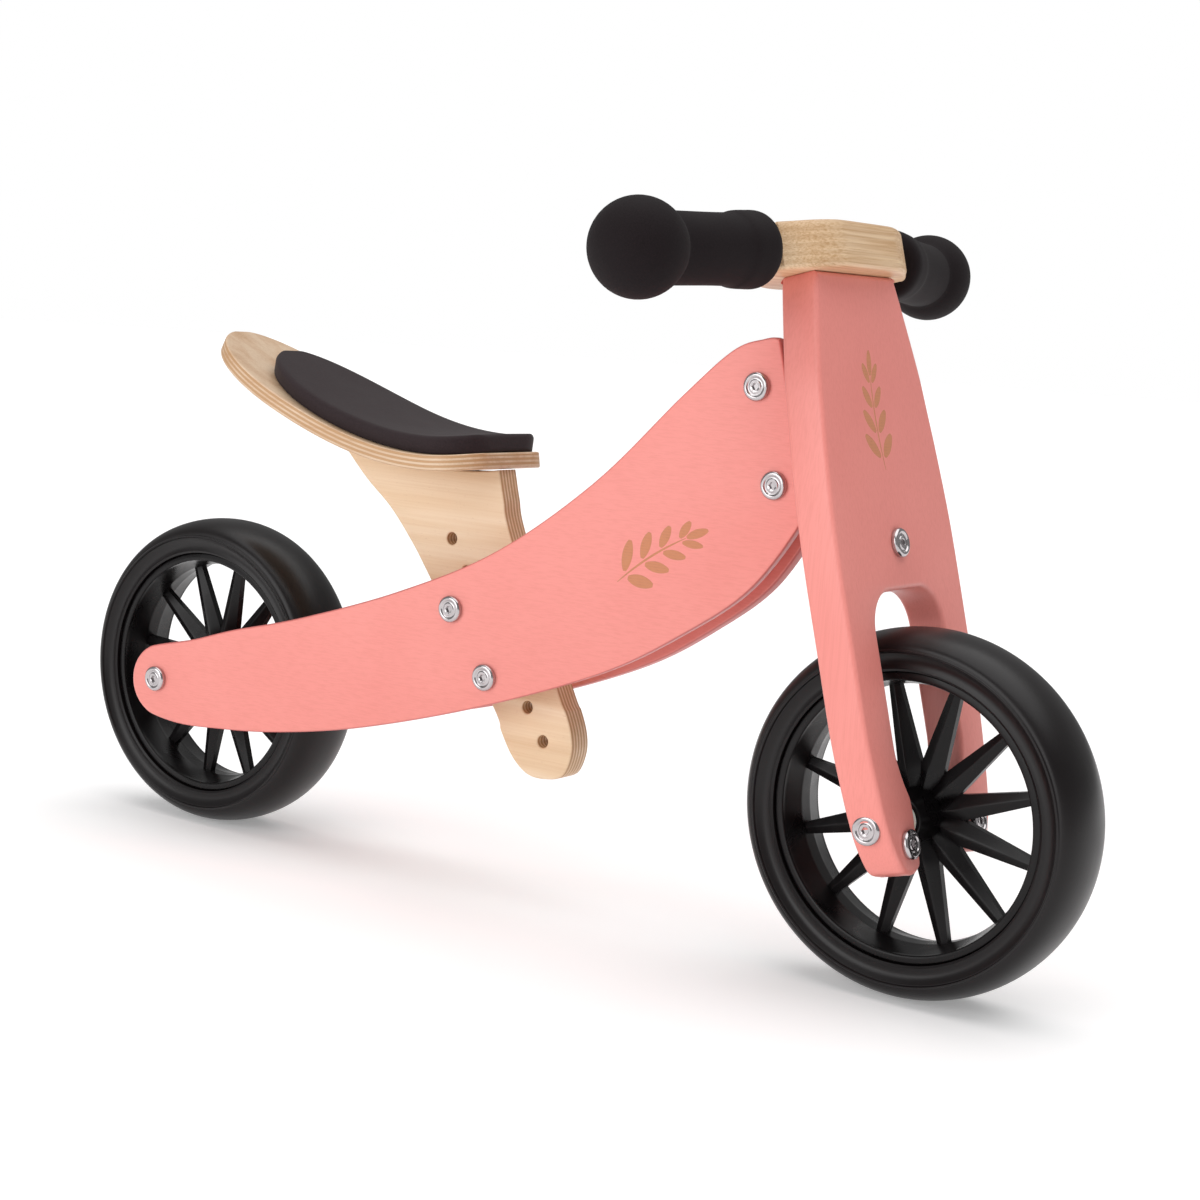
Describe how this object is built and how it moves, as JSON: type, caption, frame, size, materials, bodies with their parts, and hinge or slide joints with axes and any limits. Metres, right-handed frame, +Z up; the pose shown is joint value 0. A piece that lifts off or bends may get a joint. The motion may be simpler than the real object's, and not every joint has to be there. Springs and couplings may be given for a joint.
{
  "type": "balance bike",
  "caption": "Low wooden child's balance bike: curved side panels, board fork with swept handlebar, foam grips, curved padded seat on a post, spoked wheels with foam tyres.",
  "frame": {"origin": "on the ground, midway between the two axles, in the bike's middle plane", "axes": "+X the way the bike rolls, +Y to the rider's left, +Z up"},
  "size_m": [0.712, 0.3638, 0.411],
  "materials": {
    "coral_lacquer": "satin coral lacquer on birch plywood",
    "birch_plywood": "clear matt lacquer on birch plywood",
    "beech": "plain planed beech",
    "eva_foam": "matt black foam",
    "eva_tyre": "satin black moulded foam",
    "black_nylon": "moulded satin black",
    "nickel_steel": "nickel plated",
    "cast_aluminium": "bead blasted",
    "acetal": "natural"
  },
  "bodies": {
    "frame": {"panel_right": "coral_lacquer", "panel_left": "coral_lacquer", "head_bracket": "cast_aluminium", "steering_bush_upper": "acetal", "steering_bush_lower": "acetal", "head_upper_bolt": "nickel_steel", "head_upper_sleeve_nut": "nickel_steel", "head_lower_bolt": "nickel_steel", "head_lower_sleeve_nut": "nickel_steel", "seat_upper_bolt": "nickel_steel", "seat_upper_sleeve_nut": "nickel_steel", "seat_lower_bolt": "nickel_steel", "seat_lower_sleeve_nut": "nickel_steel", "seat_clamp_right": "beech", "seat_clamp_left": "beech", "seat_post": "birch_plywood", "seat_board": "birch_plywood", "seat_pad": "eva_foam", "seat_screw_front": "nickel_steel", "seat_screw_rear": "nickel_steel", "rear_axle_bolt": "nickel_steel", "rear_axle_sleeve_nut": "nickel_steel", "rear_spacer_right": "nickel_steel", "rear_spacer_left": "nickel_steel"},
    "fork": {"fork_board": "coral_lacquer", "handlebar": "birch_plywood", "handlebar_screw_right": "nickel_steel", "handlebar_screw_left": "nickel_steel", "grip_right": "eva_foam", "grip_left": "eva_foam", "kingpin": "nickel_steel", "kingpin_nut": "nickel_steel", "steering_spacer": "nickel_steel", "steering_lug": "nickel_steel", "steering_lug_bolt": "nickel_steel", "front_axle_bolt": "nickel_steel", "front_axle_sleeve_nut": "nickel_steel", "foot_bolt_right": "nickel_steel", "foot_bolt_nut_right": "nickel_steel", "foot_bolt_left": "nickel_steel", "foot_bolt_nut_left": "nickel_steel", "front_washer_right": "nickel_steel", "front_washer_left": "nickel_steel"},
    "rear_wheel": {"rear_tyre": "eva_tyre", "rear_rim": "black_nylon", "rear_bush_right": "acetal", "rear_bush_left": "acetal"},
    "front_wheel": {"front_tyre": "eva_tyre", "front_rim": "black_nylon", "front_bush_right": "acetal", "front_bush_left": "acetal"}
  },
  "joints": [
    {"name": "steering", "type": "hinge", "parent": "frame", "child": "fork", "pos_m": [0.23384, 0, 0.09385], "axis": [-0.2672, 0, 0.9636], "range_deg": [-45, 45]},
    {"name": "front_wheel_spin", "type": "hinge", "parent": "fork", "child": "front_wheel", "pos_m": [0.256, 0, 0.1], "axis": [0, 1, 0], "continuous": true},
    {"name": "rear_wheel_spin", "type": "hinge", "parent": "frame", "child": "rear_wheel", "pos_m": [-0.256, 0, 0.1], "axis": [0, 1, 0], "continuous": true}
  ]
}
